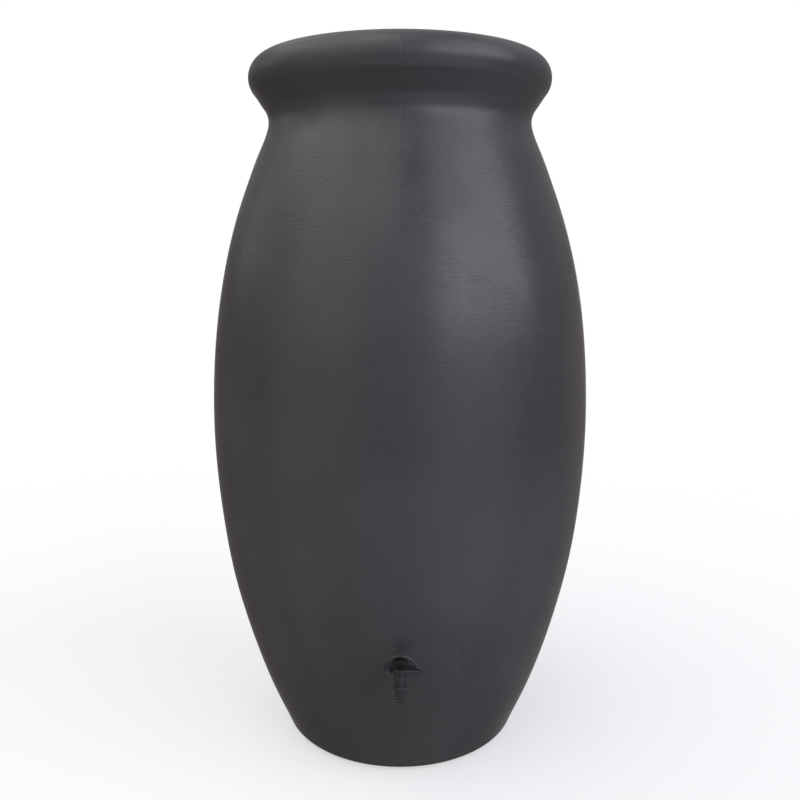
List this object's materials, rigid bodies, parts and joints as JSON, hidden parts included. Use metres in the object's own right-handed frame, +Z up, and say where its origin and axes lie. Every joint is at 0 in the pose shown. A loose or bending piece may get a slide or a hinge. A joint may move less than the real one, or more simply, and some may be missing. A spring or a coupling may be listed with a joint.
{
  "type": "rain barrel",
  "caption": "Urn-shaped moulded rain barrel with a rolled rim, a drop-in lid with leaf strainer, a lever tap with hose tail at the foot and a swivelling overflow elbow.",
  "frame": {"origin": "centre of the foot ring on the ground", "axes": "+Z up along the barrel's axis, the tap faces -Y, the overflow faces +Y, +X is the side the closed tap lever points to"},
  "size_m": [0.611, 0.6246, 1.1],
  "materials": {
    "barrel_plastic": "semi-matt anthracite, lightly textured from the mould",
    "lid_plastic": "fine-grained anthracite",
    "tap_plastic": "satin black",
    "tap_valve_plastic": "satin black",
    "overflow_plastic": "satin black",
    "strainer_plastic": "satin dark grey",
    "rubber": "matt",
    "brass": "machined",
    "steel": "blackened",
    "mesh": "fine woven wire"
  },
  "bodies": {
    "barrel": {"barrel_shell": "barrel_plastic", "tap_insert": "brass", "tap_washer": "rubber", "tap_body": "tap_plastic", "tap_gland": "tap_valve_plastic", "tap_outlet_nut": "tap_plastic", "tap_outlet_washer": "rubber", "hose_tail": "tap_plastic", "overflow_grommet": "rubber"},
    "tap_valve": {"tap_lever": "tap_valve_plastic", "tap_rotor": "tap_valve_plastic", "tap_rotor_seal": "rubber", "tap_lever_screw": "steel"},
    "overflow": {"overflow_elbow": "overflow_plastic", "overflow_screen": "overflow_plastic"},
    "lid": {"lid": "lid_plastic", "lid_seal": "rubber"},
    "strainer": {"strainer_basket": "strainer_plastic", "strainer_mesh": "mesh", "strainer_ring": "strainer_plastic"}
  },
  "joints": [
    {"name": "tap_turn", "type": "hinge", "parent": "barrel", "child": "tap_valve", "pos_m": [0, -0.3, 0.2115], "axis": [0, 0, -1], "range_deg": [0, 90]},
    {"name": "overflow_swivel", "type": "hinge", "parent": "barrel", "child": "overflow", "pos_m": [0, 0.2426, 0.905], "axis": [0, 0.9361, 0.3518], "continuous": true},
    {"name": "lid_lift", "type": "slide", "parent": "barrel", "child": "lid", "axis": [0, 0, 1], "range_m": [0, 0.4]},
    {"name": "strainer_lift", "type": "slide", "parent": "lid", "child": "strainer", "axis": [0, 0, 1], "range_m": [0, 0.2]}
  ]
}
